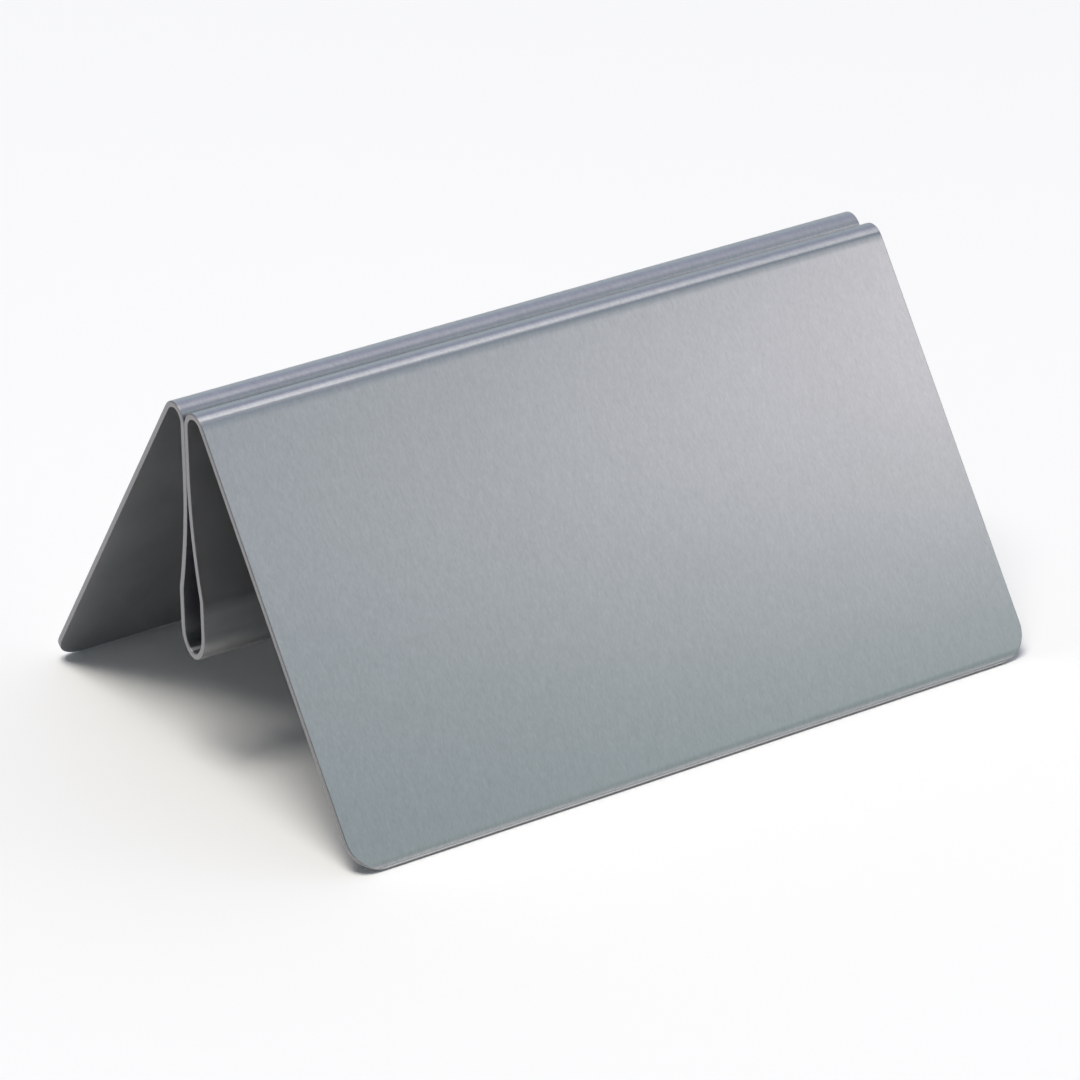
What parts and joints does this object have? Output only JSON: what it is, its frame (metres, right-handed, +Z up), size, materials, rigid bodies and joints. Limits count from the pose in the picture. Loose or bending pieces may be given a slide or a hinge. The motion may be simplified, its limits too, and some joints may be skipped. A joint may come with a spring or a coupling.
{
  "type": "menu card holder",
  "caption": "Folded sheet-steel menu card holder: a standing tent of sloping leaves with a sprung loop between them, whose jaws under the ridge grip a card stood on edge.",
  "frame": {"origin": "on the table under the middle of the ridge, at the centre of the footprint", "axes": "+X along the ridge, -Y towards the front leaf, +Z up"},
  "size_m": [0.08, 0.0576, 0.038],
  "materials": {
    "steel": "fine brushed grain along the strip, square to the ridge; sheared edges deburred"
  },
  "bodies": {
    "loop": {"loop_nose": "steel"},
    "front_half": {"front_leaf": "steel", "front_ridge_bend": "steel", "front_jaw": "steel", "front_loop_wall": "steel"},
    "rear_half": {"rear_leaf": "steel", "rear_ridge_bend": "steel", "rear_jaw": "steel", "rear_loop_wall": "steel"}
  },
  "joints": [
    {"name": "front_jaw_flex", "type": "hinge", "parent": "loop", "child": "front_half", "pos_m": [0, -0.00185, 0.0146], "axis": [1, 0, 0], "range_deg": [0, 2.1], "stiffness_Nm_per_rad": 24.5},
    {"name": "rear_jaw_flex", "type": "hinge", "parent": "loop", "child": "rear_half", "pos_m": [0, 0.00185, 0.0146], "axis": [-1, 0, 0], "range_deg": [0, 2.1], "stiffness_Nm_per_rad": 24.5}
  ],
  "couplings": [
    {"joint": "rear_jaw_flex", "follows": "front_jaw_flex", "ratio": 1}
  ]
}
